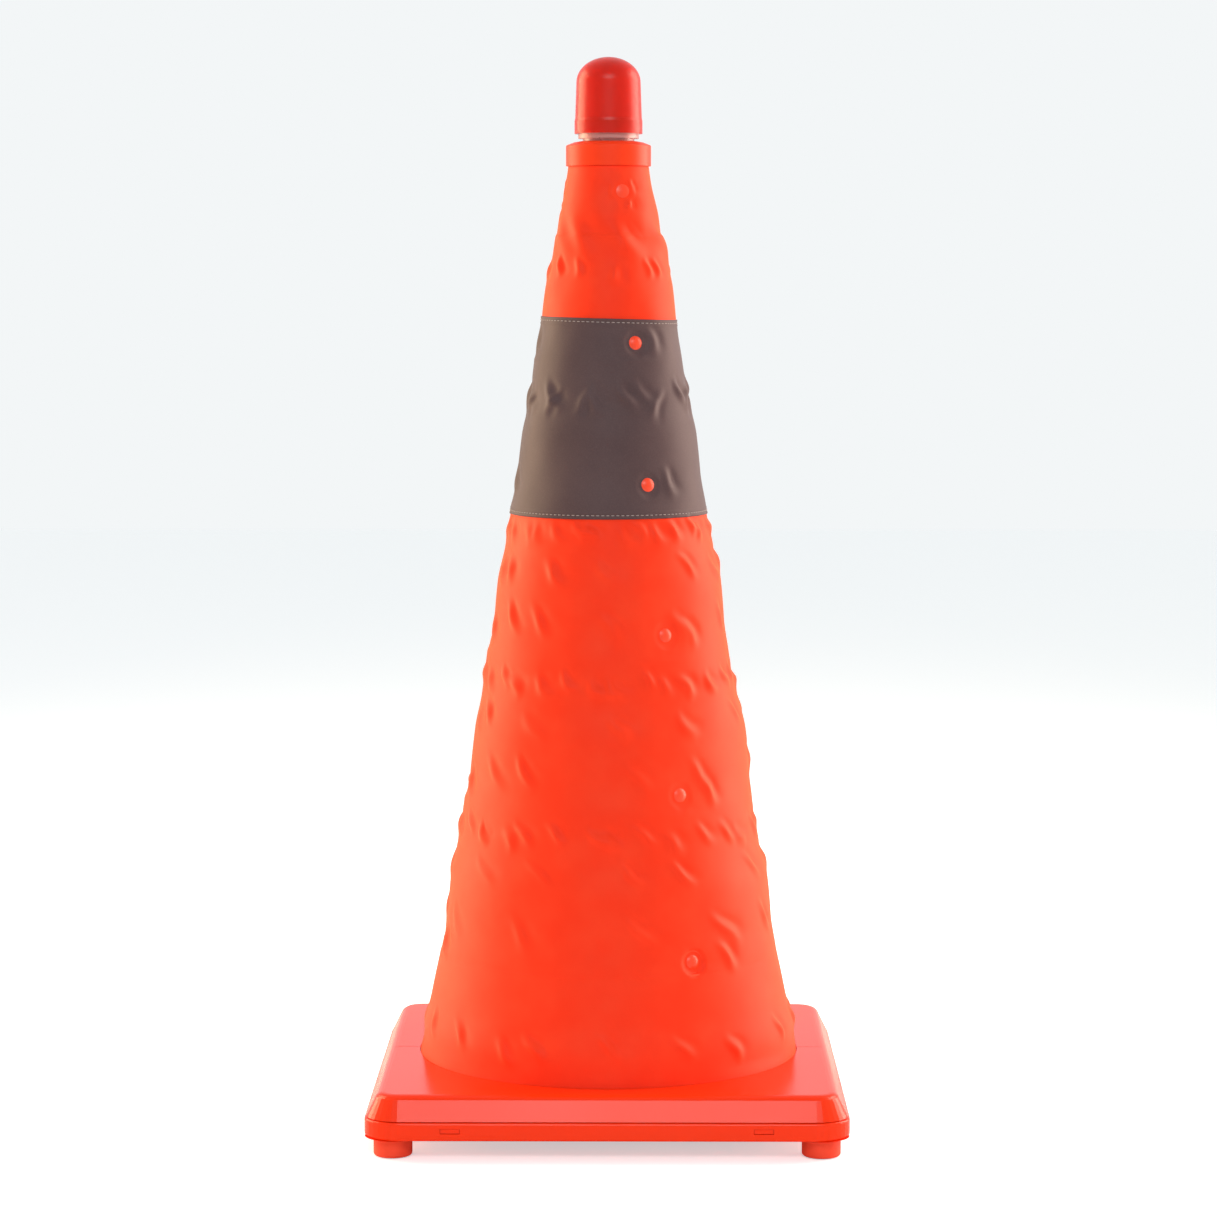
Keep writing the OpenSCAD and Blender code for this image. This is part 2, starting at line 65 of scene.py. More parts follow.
def linear(colour: str) -> tuple[float, float, float, float]:
    """Turns an sRGB hex colour into linear light.

    Args:
        colour: six hex digits with a leading hash.

    Returns:
        Linear red, green, blue and an alpha of 1.
    """
    parts = [int(colour[i:i + 2], 16) / 255 for i in (1, 3, 5)]
    return (*(c / 12.92 if c <= 0.04045 else ((c + 0.055) / 1.055) ** 2.4 for c in parts), 1.0)


def smooth(x: np.ndarray) -> np.ndarray:
    """Eases 0 to 1: three times the square less twice the cube, held at both ends."""
    t = np.clip(x, 0, 1)
    return t * t * (3 - 2 * t)


# ---- finishes ----


def add(tree: bpy.types.NodeTree, kind: str, settings: dict | None = None,
        links: dict | None = None) -> bpy.types.Node:
    """Adds one node with its settings and links.

    Args:
        tree: the material's node tree.
        kind: the node's type name without its ShaderNode prefix.
        settings: values by attribute name, or by input name or number.
        links: sockets to join, by input name or number.

    Returns:
        The new node.
    """
    node = tree.nodes.new("ShaderNode" + kind)
    for key, value in (settings or {}).items():
        if isinstance(key, str) and hasattr(node, key):
            setattr(node, key, value)
        else:
            node.inputs[key].default_value = value
    for key, socket in (links or {}).items():
        tree.links.new(socket, node.inputs[key])
    return node


@dataclass(frozen=True)
class Finish:
    """A surface finish: one Principled shader with its constants on its own sockets."""

    name: str
    colour: str
    roughness: float = 0.45
    ior: float = 1.5
    metallic: float = 0.0
    coat: float = 0.0
    coat_roughness: float = 0.05
    sheen: float = 0.0
    sheen_colour: str = "#FFFFFF"
    transmission: float = 0.0

    def material(self) -> bpy.types.Material:
        """Builds the finish once and returns its material."""
        known = bpy.data.materials.get(self.name)
        if known:
            return known
        made = bpy.data.materials.new(self.name)
        made.use_nodes = True
        tree = made.node_tree
        tree.nodes.clear()
        shader = add(tree, "BsdfPrincipled", {
            "Base Color": linear(self.colour), "Roughness": self.roughness, "IOR": self.ior,
            "Metallic": self.metallic, "Coat Weight": self.coat, "Coat Roughness": self.coat_roughness,
            "Sheen Weight": self.sheen, "Sheen Roughness": 0.45, "Sheen Tint": linear(self.sheen_colour), "Transmission Weight": self.transmission})
        add(tree, "OutputMaterial", links={"Surface": shader.outputs[0]})
        self.pattern(tree, shader)
        return made

    def pattern(self, tree: bpy.types.NodeTree, shader: bpy.types.Node) -> None:
        """Adds the finish's own colour and relief; a plain finish has none."""

    def tint(self, tree: bpy.types.NodeTree, shader: bpy.types.Node, mask: bpy.types.NodeSocket,
             other: str) -> None:
        """Mixes the base colour towards another where the mask is bright."""
        mix = add(tree, "Mix", {"data_type": "RGBA", 6: linear(self.colour), 7: linear(other)}, {0: mask})
        tree.links.new(mix.outputs[2], shader.inputs["Base Color"])


@dataclass(frozen=True)
class WovenOxford(Finish):
    """Coated polyester Oxford: a plain basket weave, soft sheen, slightly mottled dye."""

    # Real threads lie 0.5 mm apart; drawn at 1.6 mm so that the weave can be seen
    thread_mm: float = 1.6
    relief_mm: float = 0.05
    worn: str = "#FF5330"

    def pattern(self, tree: bpy.types.NodeTree, shader: bpy.types.Node) -> None:
        """Weave: the product of two sines along the cloth's own millimetre map, over a slow mottle."""
        at = add(tree, "UVMap", {"uv_map": "cloth_mm"})
        axes = add(tree, "SeparateXYZ", links={0: at.outputs[0]})
        waves = []
        for axis in (0, 1):
            turn = add(tree, "Math", {"operation": "MULTIPLY", 1: 2 * math.pi / self.thread_mm},
                       {0: axes.outputs[axis]})
            waves.append(add(tree, "Math", {"operation": "SINE"}, {0: turn.outputs[0]}))
        weave = add(tree, "Math", {"operation": "MULTIPLY"},
                    {0: waves[0].outputs[0], 1: waves[1].outputs[0]})
        place = add(tree, "TexCoord")
        mottle = add(tree, "TexNoise", {"Scale": 1 / (22 * MM), "Detail": 3.0}, {"Vector": place.outputs["Object"]})
        slub = add(tree, "TexNoise", {"Scale": 1 / (2.5 * MM), "Detail": 2.0}, {"Vector": place.outputs["Object"]})
        both = add(tree, "Math", {"operation": "MULTIPLY_ADD", 1: 0.16, 2: 0.0}, {0: weave.outputs[0]})
        shade = add(tree, "MapRange", {"From Min": 0.35, "From Max": 0.7, "To Min": 0.0, "To Max": 0.22},
                    {"Value": mottle.outputs[0]})
        mask = add(tree, "Math", {"operation": "ADD", "use_clamp": True},
                   {0: shade.outputs[0], 1: both.outputs[0]})
        self.tint(tree, shader, mask.outputs[0], self.worn)
        height = add(tree, "Math", {"operation": "ADD"}, {0: weave.outputs[0], 1: slub.outputs[0]})
        bump = add(tree, "Bump", {"Strength": 0.35, "Distance": self.relief_mm * MM}, {"Height": height.outputs[0]})
        tree.links.new(bump.outputs[0], shader.inputs["Normal"])


@dataclass(frozen=True)
class GlassBeadTape(Finish):
    """Retro-reflective fabric: fine glass beads on a grey binder, a faint pressed diamond weave."""

    bead_mm: float = 0.9
    worn: str = "#665252"

    def pattern(self, tree: bpy.types.NodeTree, shader: bpy.types.Node) -> None:
        """Beads: fine cells for sparkle and grain, over slow scuffing."""
        place = add(tree, "TexCoord")
        beads = add(tree, "TexVoronoi", {"Scale": 1 / (self.bead_mm * MM)}, {"Vector": place.outputs["Object"]})
        scuff = add(tree, "TexNoise", {"Scale": 1 / (30 * MM), "Detail": 4.0}, {"Vector": place.outputs["Object"]})
        grain = add(tree, "Math", {"operation": "MULTIPLY_ADD", 1: 0.25, 2: -0.05}, {0: beads.outputs[0]})
        mask = add(tree, "Math", {"operation": "MULTIPLY_ADD", "use_clamp": True, 1: 0.5},
                   {0: scuff.outputs[0], 2: grain.outputs[0]})
        self.tint(tree, shader, mask.outputs[0], self.worn)
        bump = add(tree, "Bump", {"Strength": 0.3, "Distance": 0.04 * MM}, {"Height": beads.outputs[0]})
        tree.links.new(bump.outputs[0], shader.inputs["Normal"])


@dataclass(frozen=True)
class Moulded(Finish):
    """Injection-moulded plastic or rubber: fine spark-eroded grain, slow flow marks with paler worn patches."""

    grain_mm: float = 0.8
    relief_mm: float = 0.012
    worn: str = "#FF5530"
    wear: float = 0.25
    flow_mm: float = 60.0

    def pattern(self, tree: bpy.types.NodeTree, shader: bpy.types.Node) -> None:
        """Grain: fine noise for relief, slow noise for flow marks in colour and gloss."""
        place = add(tree, "TexCoord")
        grain = add(tree, "TexNoise", {"Scale": 1 / (self.grain_mm * MM), "Detail": 3.0},
                    {"Vector": place.outputs["Object"]})
        flow = add(tree, "TexNoise", {"Scale": 1 / (self.flow_mm * MM), "Detail": 4.0},
                   {"Vector": place.outputs["Object"]})
        mask = add(tree, "MapRange", {"From Min": 0.4, "From Max": 0.75, "To Min": 0.0, "To Max": self.wear},
                   {"Value": flow.outputs[0]})
        self.tint(tree, shader, mask.outputs[0], self.worn)
        gloss = add(tree, "MapRange", {"From Min": 0.3, "From Max": 0.7, "To Min": self.roughness * 0.85,
                                       "To Max": self.roughness * 1.2}, {"Value": flow.outputs[0]})
        tree.links.new(gloss.outputs[0], shader.inputs["Roughness"])
        bump = add(tree, "Bump", {"Strength": 0.4, "Distance": self.relief_mm * MM}, {"Height": grain.outputs[0]})
        tree.links.new(bump.outputs[0], shader.inputs["Normal"])


class Stock(Enum):
    """The real materials of the cone, each as its finish."""

    OXFORD = WovenOxford("woven_polyester_oxford", "#FB3410", 0.55, 1.25, sheen=0.6, sheen_colour="#FFA468")
    TAPE = GlassBeadTape("retroreflective_glass_bead_tape", "#4C393B", 0.55, 1.25, sheen=0.14,
                         sheen_colour="#E8E0DC")
    THREAD = Moulded("spun_polyester_thread", "#A2938F", 0.7, 1.46, grain_mm=0.5, relief_mm=0.05,
                     worn="#BDB0AC")
    TRAY = Moulded("moulded_abs_orange", "#FB360C", 0.2, 1.26, wear=0.06,
                   flow_mm=140.0)
    TUBE = Moulded("extruded_pp_orange", "#F4481C", 0.4, 1.49)
    RIVET = Moulded("moulded_nylon_orange", "#FC4014", 0.38, 1.5, grain_mm=0.5)
    COLLAR = Moulded("moulded_abs_orange_collar", "#FB3C10", 0.4, 1.3, wear=0.1)
    RUBBER = Moulded("moulded_tpe_orange", "#F4401C", 0.6, 1.5, grain_mm=0.6, relief_mm=0.03)
    GASKET = Moulded("nitrile_rubber", "#1E1B1B", 0.65, 1.5, worn="#3A3636")
    STEM = Moulded("moulded_abs_black", "#262424", 0.4, 1.53, worn="#3D3A3A")
    CARRIER = Moulded("moulded_abs_dark", "#231D1F", 0.45, 1.53, worn="#3A3234")
    STEEL = Moulded("zinc_plated_steel", "#B9BCC0", 0.32, 1.5, metallic=1.0, worn="#E0E2E4")
    STRAP = Moulded("stainless_strap", "#C2C2C0", 0.28, 1.5, metallic=1.0, worn="#E4E4E2")
    CELL = Moulded("printed_cell_sleeve", "#2E3136", 0.3, 1.5, metallic=0.6, worn="#5A5E66")
    BRASS = Moulded("sprung_brass", "#C79A4A", 0.3, 1.5, metallic=1.0, worn="#E6C580")
    BOARD = Moulded("glass_epoxy_laminate", "#1F5B38", 0.4, 1.55, worn="#2F7A4E", flow_mm=6.0)
    EPOXY = Moulded("clear_led_epoxy", "#FFE9E4", 0.08, 1.54, transmission=0.7, worn="#FFFFFF", relief_mm=0.0)
    LENS = Moulded("tinted_polycarbonate_lens", "#EE2203", 0.3, 1.32, transmission=0.5,
                   worn="#F83C14", wear=0.15, relief_mm=0.004)
    CLEAR = Moulded("clear_polycarbonate_flange", "#EFA79E", 0.26, 1.5, transmission=0.5, worn="#FFFFFF",
                    relief_mm=0.006)
    BUTTON = Moulded("moulded_tpe_black", "#2A2828", 0.55, 1.5, worn="#454141")


NODE_STOCK = {
    Stock.TRAY: ("base_tray", "base_cover"),
    Stock.TUBE: ("base_tube", *(f"tube_{n:02d}" for n in range(1, 12))),
    Stock.RIVET: ("tacks_01", *(f"rivets_{n:02d}" for n in (3, 5, 7, 9, 11))),
    Stock.RUBBER: tuple(f"foot_{end}_{side}" for end in ("front", "rear") for side in ("left", "right")),
    Stock.COLLAR: ("top_collar",),
    Stock.STEEL: ("base_screws",),
    Stock.STRAP: ("hem_clamp",),
    Stock.LENS: ("lamp_lens",),
    Stock.CLEAR: ("lamp_flange",),
    Stock.GASKET: ("lamp_gasket",),
    Stock.STEM: ("lamp_stem", "battery_cap"),
    Stock.CARRIER: ("led_carrier",),
    Stock.BOARD: ("led_board",),
    Stock.EPOXY: ("leds",),
    Stock.CELL: ("batteries",),
    Stock.BRASS: ("contact_top", "contact_bottom"),
    Stock.BUTTON: ("switch_button",),
}


def dress_nodes() -> None:
    """Gives every carried-over construction node its real finish."""
    for stock, names in NODE_STOCK.items():
        for name in names:
            node = frame["nodes"][name]
            node.data.materials.clear()
            node.data.materials.append(stock.value.material())
            LOG.info("%s: %s", name, stock.value.name)


# ---- the cone that the cloth follows ----


def node_points(name: str) -> np.ndarray:
    """Returns a construction node's mesh vertices, one row each, in metres."""
    mesh = frame["nodes"][name].data
    flat = np.empty(len(mesh.vertices) * 3)
    mesh.vertices.foreach_get("co", flat)
    return flat.reshape(-1, 3)


@dataclass(frozen=True)
class Rivet:
    """One rivet: its turn, its middle height, the lean of its face and the plane of its seat."""

    turn: float
    height: float
    lean: float
    plane: float

    def seat(self, turns: np.ndarray, heights: np.ndarray) -> np.ndarray:
        """Radius of the seat's flat plane: its offset less the height's share, over the cosine of the turn."""
        return ((self.plane - math.sin(self.lean) * heights)
                / (math.cos(self.lean) * np.cos(turns - self.turn)))

    def away(self, turns: np.ndarray, heights: np.ndarray, radius: np.ndarray) -> tuple[np.ndarray, np.ndarray]:
        """Sideways and upward distance from the rivet, along the cloth."""
        side = (turns - self.turn + math.pi) % (2 * math.pi) - math.pi
        return side * radius, (heights - self.height) / math.cos(self.lean)


@dataclass
class Frame:
    """The nested tubes as measured from their nodes: mouths, feet and rivets."""

    count: int = 12
    rivets_per_ring: int = 3
    cloth_off: float = 0.8 * MM
    rim_z: list[float] = field(default_factory=list)
    rim_r: list[float] = field(default_factory=list)
    foot_z: list[float] = field(default_factory=list)
    foot_r: list[float] = field(default_factory=list)
    rivets: dict[int, list[Rivet]] = field(default_factory=dict)

    def __post_init__(self) -> None:
        """Reads each tube's mouth and foot, then its rivets."""
        for zone in range(self.count):
            name = f"tube_{zone + 1:02d}" if zone < self.count - 1 else "base_tube"
            points = node_points(name)
            reach = np.hypot(points[:, 0], points[:, 1])
            top = points[:, 2].max()
            mouth = reach[points[:, 2] > top - 0.1 * MM].max()
            if zone < self.count - 1:
                low = points[:, 2].min()
                foot = reach[points[:, 2] < low + 0.1 * MM].max()
            else:
                cover = node_points("base_cover")
                low = cover[:, 2].max()
                hole = np.hypot(cover[:, 0], cover[:, 1])[cover[:, 2] > low - 0.1 * MM].min()
                foot = hole - 0.5 * MM - self.cloth_off
            self.rim_z.append(float(top))
            self.rim_r.append(float(mouth))
            self.foot_z.append(float(low))
            self.foot_r.append(float(foot))
        for zone in range(0, self.count - 1, 2):
            self.rivets[zone] = self.read_rivets(zone)

    def lean(self, zone: int) -> float:
        """Slope of a tube's wall: growth of its radius over its height."""
        return (self.foot_r[zone] - self.rim_r[zone]) / (self.rim_z[zone] - self.foot_z[zone])

    def read_rivets(self, zone: int) -> list[Rivet]:
        """Finds a ring's rivets: the highest and lowest points give the middle, the head's edge the seat."""
        points = node_points("tacks_01" if zone == 0 else f"rivets_{zone + 1:02d}")
        turns = np.arctan2(points[:, 0], -points[:, 1])
        step = 2 * math.pi / self.rivets_per_ring
        phase = np.angle(np.exp(1j * turns * self.rivets_per_ring).mean()) / self.rivets_per_ring
        lean = math.atan(self.lean(zone))
        found = []
        for i in range(self.rivets_per_ring):
            turn = phase + i * step
            near = np.abs((turns - turn + math.pi) % (2 * math.pi) - math.pi) < step / 2
            own = points[near]
            out = np.array([math.sin(turn) * math.cos(lean), -math.cos(turn) * math.cos(lean), math.sin(lean)])
            across = np.array([math.cos(turn), math.sin(turn), 0.0])
            along = np.cross(across, out)
            side, rise, depth = own @ across, own @ along, own @ out
            middle = (rise.max() + rise.min()) / 2
            edge = np.hypot(side, rise - middle) > 4.9 * MM
            plane = float(depth[edge].mean())
            height = float((own[edge] @ np.array([0, 0, 1.0])).mean())
            found.append(Rivet(float(turn), height, lean, plane))
        return found

    def zone_of(self, heights: np.ndarray) -> np.ndarray:
        """Number of the zone that each height lies in, counted from the top."""
        return np.clip(np.searchsorted(-np.array(self.rim_z), -heights, side="right") - 1, 0, self.count - 1)


@dataclass(frozen=True)
class Fold:
    """A soft crease: from a place below its zone's mouth it runs by a turn and a drop. Degrees and mm."""

    zone: int
    turn: float
    drop: float
    run_turn: float
    run_drop: float
    width: float = 3.2
    height: float = 0.9


@dataclass(frozen=True)
class FoldRow:
    """A row of like folds all round some zones. Degrees round the cone, shares of the zone's height, and mm."""

    zones: tuple[int, ...]
    every: float
    start: float
    run: float
    run_turn: float
    width: float
    height: float


FOLD_ROWS = (
    # short diagonals that hang from every second mouth, and the drag folds below them
    FoldRow((5, 7, 9), 12, 0.12, 0.28, 9, 3.2, 1.0),
    FoldRow((5, 7, 9), 30, 0.6, 0.35, 11, 3.4, 0.9),
    # longer diagonals on the tubes with rivets
    FoldRow((6, 8, 10), 36, 0.25, 0.45, 12, 3.6, 0.9),
    # loose cloth on the second tube
    FoldRow((1,), 45, 0.05, 0.6, 35, 6, 1.1),
    FoldRow((1,), 30, 0.6, 0.3, 6, 2.8, 0.8),
    # crossed creases in the middle of the band
    FoldRow((3,), 24, 0.25, 0.4, 16, 3.4, 1.0),
    FoldRow((3,), 40, 0.35, 0.4, -12, 3.2, 0.9),
    # gathers above the hem
    FoldRow((11,), 20, 0.55, 0.25, 7, 3.2, 1.0),
)


@dataclass
class Cover:
    """The cloth cover: one surface R(turn, height), cut into a piece for each tube."""

    frame: Frame
    row: float = 1.1 * MM
    lip: float = 26 * MM
    seat_in: float = 6.2 * MM
    seat_out: float = 11 * MM
    clear: float = 0.25 * MM
    seed: int = 41
    loose: dict[int, float] = field(default_factory=lambda: {0: 0.25, 1: 1.0, 2: 0.5, 3: 0.7})
    rays: dict[int, float] = field(default_factory=lambda: {0: 0.5, 2: 0.08, 4: 0.06, 6: 0.1, 8: 0.12, 10: 0.16})
    shoulders: dict[int, float] = field(default_factory=lambda: {2: 2.3, 4: 0.9, 6: 2.4, 8: 2.5, 10: 1.9})
    depth: float = 2.2
    broad: float = 1.8
    sway: float = 0.25
    flare: float = 0.45
    hug: float = 0.8
    hug_reach: float = 15 * MM
    folds: list[Fold] = field(default_factory=list)

    def __post_init__(self) -> None:
        """Lays the folds out from the mouths and the rivets, each a little off its place."""
        draw = np.random.default_rng(self.seed)
        self.folds = [fold for row in FOLD_ROWS for zone in row.zones for fold in self.row_folds(row, zone, draw)]
        for zone, ring in self.frame.rivets.items():
            for rivet in ring:
                self.folds += self.rivet_folds(zone, rivet)

    def row_folds(self, row: FoldRow, zone: int, draw: np.random.Generator) -> list[Fold]:
        """Spreads one row's folds round a zone, with seeded shifts of place and size."""
        high = self.span(zone) / MM
        made = []
        for turn in np.arange(0, 360, row.every):
            shift, slide, size, tilt = draw.random(4) - 0.5
            made.append(Fold(zone, turn + 0.7 * row.every * shift, high * (row.start + 0.16 * slide),
                             row.run_turn * (1 + 0.5 * tilt), high * row.run, row.width * (1 + 0.4 * slide),
                             row.height * (0.85 + 0.6 * size)))
        return made

    def rivet_folds(self, zone: int, rivet: Rivet) -> list[Fold]:
        """Three small puckers round a tack, or one diagonal beside a rivet."""
        turn, drop = rivet.turn / DEG, (self.frame.rim_z[zone] - rivet.height) / MM
        if zone == 0:
            return [Fold(0, turn - 16, drop - 3, 5, 8, 2, 1.1), Fold(0, turn + 12, drop - 9, -4, 7, 2, 1.2),
                    Fold(0, turn + 8, drop + 5, -3, 7, 2, 1.2)]
        return [Fold(zone, turn + 10, drop - 12, 8, 22, 3.6, 1.0)]

    def span(self, zone: int) -> float:
        """Height of a zone, from its mouth down to the next one, or to the base for the last."""
        low = self.frame.rim_z[zone + 1] if zone + 1 < self.frame.count else self.frame.foot_z[zone]
        return self.frame.rim_z[zone] - low

    def wall(self, heights: np.ndarray) -> np.ndarray:
        """Radius of cloth that lies flat on each tube's straight wall."""
        f = self.frame
        zone = f.zone_of(heights)
        rim_z, rim_r = np.array(f.rim_z), np.array(f.rim_r)
        lean = np.array([f.lean(k) for k in range(f.count)])
        return rim_r[zone] + lean[zone] * (rim_z[zone] - heights) + f.cloth_off

    def plain(self, heights: np.ndarray) -> np.ndarray:
        """Radius of the unwrinkled cloth: each tube's straight wall, eased out to the next mouth."""
        f = self.frame
        zone = f.zone_of(heights)
        rim_z, rim_r = np.array(f.rim_z), np.array(f.rim_r)
        lean = np.array([f.lean(k) for k in range(f.count)])
        radius = self.wall(heights)
        below = np.minimum(zone + 1, f.count - 1)
        gap = rim_r[below] - (rim_r[zone] + lean[zone] * (rim_z[zone] - rim_z[below]))
        lift = smooth(1 - (heights - rim_z[below]) / self.lip)
        radius = np.where(zone < f.count - 1, radius + gap * lift, radius)
        return np.minimum(radius, f.foot_r[-1] + f.cloth_off)

    def crease(self, fold: Fold, turns: np.ndarray, heights: np.ndarray, radius: np.ndarray) -> np.ndarray:
        """Height of one fold.

        A bell across it with a shallow trough beside it, faded out along its length. Its line sways by a
        full sine and it widens as it runs.
        """
        start = self.frame.rim_z[fold.zone] - fold.drop * MM
        mid_turn = (fold.turn + fold.run_turn / 2) * DEG
        mid_z = start - fold.run_drop * MM / 2
        around = float(self.plain(np.array([mid_z]))[0])
        run = np.array([fold.run_turn * DEG * around, -fold.run_drop * MM])
        length = max(float(np.hypot(*run)), 1e-6)
        run /= length
        side = ((turns - mid_turn + math.pi) % (2 * math.pi) - math.pi) * radius
        rise = heights - mid_z
        along = (side * run[0] + rise * run[1]) / length
        bend = self.sway * fold.width * np.sin(2 * math.pi * along + fold.turn)
        across = (side * -run[1] + rise * run[0]) / MM - bend
        q = across / (0.62 * self.broad * fold.width * (1 + self.flare * along))
        fade = np.where(np.abs(along) < 0.62, np.cos(np.clip(along / 0.62, -1, 1) * math.pi / 2) ** 2, 0)
        return self.depth * fold.height * MM * fade * (np.exp(-q ** 2) - 0.5 * np.exp(-(q - 1.55) ** 2))

    def pucker(self, rivet: Rivet, rays: float, turns: np.ndarray, heights: np.ndarray,
               radius: np.ndarray) -> np.ndarray:
        """Small rays round a rivet: a cosine of the angle round it, rising outside the head and dying away."""
        side, rise = rivet.away(turns, heights, radius)
        far = np.hypot(side, rise) / MM
        angle = np.arctan2(rise, side)
        ring = smooth((far - 5.5) / 4) * np.exp(-((far - 8) / 6.5).clip(0) ** 2)
        return rays * MM * ring * (np.cos(7 * angle + 4 * rivet.turn) + 0.5 * np.cos(4 * angle + 1.3))

    def surface(self, turns: np.ndarray, heights: np.ndarray, proud: float = 0.0) -> np.ndarray:
        """Radius of the finished cloth.

        Plain radius, plus slow sines for slackness, plus folds over the mouths, creases and puckers, never
        nearer to a tube than a set gap, then flattened onto each rivet's seat.

        Args:
            turns: turn of each grid point, in radians.
            heights: height of each grid point.
            proud: thickness laid over the cover, as for the band.

        Returns:
            Radius of each grid point.
        """
        f = self.frame
        base = self.plain(heights)
        zone = f.zone_of(heights)
        slack = np.array([self.loose.get(k, 0.9 if k % 2 else 0.6) for k in range(f.count)])
        knots_z = np.array([(f.rim_z[k] - self.span(k) / 2) for k in range(f.count)])[::-1]
        amount = np.interp(heights, knots_z, slack[::-1])
        ends = smooth((f.rim_z[0] - 14 * MM - heights) / (12 * MM)) * smooth((heights - f.foot_z[-1]) / (10 * MM))
        z = heights / MM
        wave = (0.42 * np.sin(3 * turns + z / 31 + 0.6) + 0.34 * np.sin(5 * turns - z / 19 + 1.9)
                + 0.2 * np.sin(8 * turns + z / 12.5 + 0.2) + 0.08 * np.sin(13 * turns - z / 8.3))
        change = amount * (0.3 + wave) * MM
        for k, size in self.shoulders.items():
            rise = (heights - f.rim_z[k]) / np.where(heights > f.rim_z[k], self.span(k - 1), self.span(k))
            toward = 0.45 + 0.65 * np.exp(-((turns - 84 * DEG) / (52 * DEG)) ** 2)
            change += size * MM * smooth(1 - np.abs(rise)) ** 0.8 * toward
        for fold in self.folds:
            change += self.crease(fold, turns, heights, base)
        for k, ring in f.rivets.items():
            for rivet in ring:
                change += self.pucker(rivet, self.rays[k], turns, heights, base)
        hem = smooth((f.foot_z[-1] + 42 * MM - heights) / (20 * MM))
        change += 1.3 * MM * hem * smooth((heights - f.foot_z[-1] - 6 * MM) / (16 * MM))
        radius = base + np.maximum(change * ends, self.clear - f.cloth_off) + proud
        collar_low = float(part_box("top_collar")[0][2])
        drop = (collar_low - heights) / MM
        radius = radius + 0.9 * MM * smooth((drop - 0.5) / 3) * np.exp(-(drop.clip(0) / 22) ** 2)
        lowest = np.append(f.rim_z[1:], f.foot_z[-1])[zone]
        wall = self.wall(heights) + proud
        for k, ring in f.rivets.items():
            for rivet in ring:
                far = np.hypot(*rivet.away(turns, heights, base))
                close = self.hug * np.exp(-(far / self.hug_reach) ** 2) * (np.cos(turns - rivet.turn) > 0)
                radius = radius - (radius - wall) * close * smooth((heights - lowest - 1 * MM) / (6 * MM))
        for k, ring in f.rivets.items():
            for rivet in ring:
                side, rise = rivet.away(turns, heights, base)
                far = np.hypot(side, rise)
                hold = 1 - smooth((far - self.seat_in) / (self.seat_out - self.seat_in))
                near = (hold > 0) & (np.cos(turns - rivet.turn) > 0.5)
                seat = rivet.seat(turns, heights) + 0.06 * MM
                radius = np.where(near, radius + (seat - radius) * hold, radius)
        return radius

    def rows(self, top: float, bottom: float) -> np.ndarray:
        """Evenly spaced heights from top to bottom."""
        return np.linspace(top, bottom, max(3, int(math.ceil((top - bottom) / self.row)) + 1))


def grid_piece(name: str, turns: np.ndarray, heights: np.ndarray, radius: np.ndarray,
               stock: Stock) -> bpy.types.Object:
    """Makes a closed ring of cloth from its grid, faces outward, with a millimetre map of the cloth.

    A point stands at (R sin t, -R cos t, z). The map is the arc length round the ring and the height.

    Args:
        name: the piece's name.
        turns: turn of each column, one full turn without its end.
        heights: height of each row, or of each grid point.
        radius: radius of each grid point, rows by columns.
        stock: the finish.

    Returns:
        The new object.
    """
    rows, columns = radius.shape
    height = np.broadcast_to(heights, radius.shape) if heights.ndim == 2 else heights[:, None] + 0 * radius
    points = np.stack([radius * np.sin(turns), -radius * np.cos(turns), height], axis=-1)
    i, j = np.meshgrid(np.arange(rows - 1), np.arange(columns), indexing="ij")
    right = (j + 1) % columns
    faces = np.stack([i * columns + j, (i + 1) * columns + j, (i + 1) * columns + right, i * columns + right], -1)
    mesh = bpy.data.meshes.new(name)
    mesh.from_pydata(points.reshape(-1, 3), [], faces.reshape(-1, 4).tolist())
    mesh.polygons.foreach_set("use_smooth", np.ones((rows - 1) * columns, bool))
    arc = radius.mean() * 2 * math.pi / columns / MM
    row_z = height.mean(axis=1) / MM
    corners = [(i, j), (i + 1, j), (i + 1, j + 1), (i, j + 1)]
    flat = np.stack([np.stack([c * arc, row_z[r]], -1) for r, c in corners], axis=2)
    layer = mesh.uv_layers.new(name="cloth_mm")
    layer.data.foreach_set("uv", flat.reshape(-1).astype(np.float32))
    mesh.update()
    piece = bpy.data.objects.new(name, mesh)
    bpy.context.scene.collection.objects.link(piece)
    mesh.materials.append(stock.value.material())
    LOG.info("%s: %d x %d grid", name, rows, columns)
    return piece


def body_of_zone(zone: int) -> str:
    """Name of the body that a zone's tube belongs to."""
    return f"section_{zone + 1:02d}" if zone < 11 else "root"


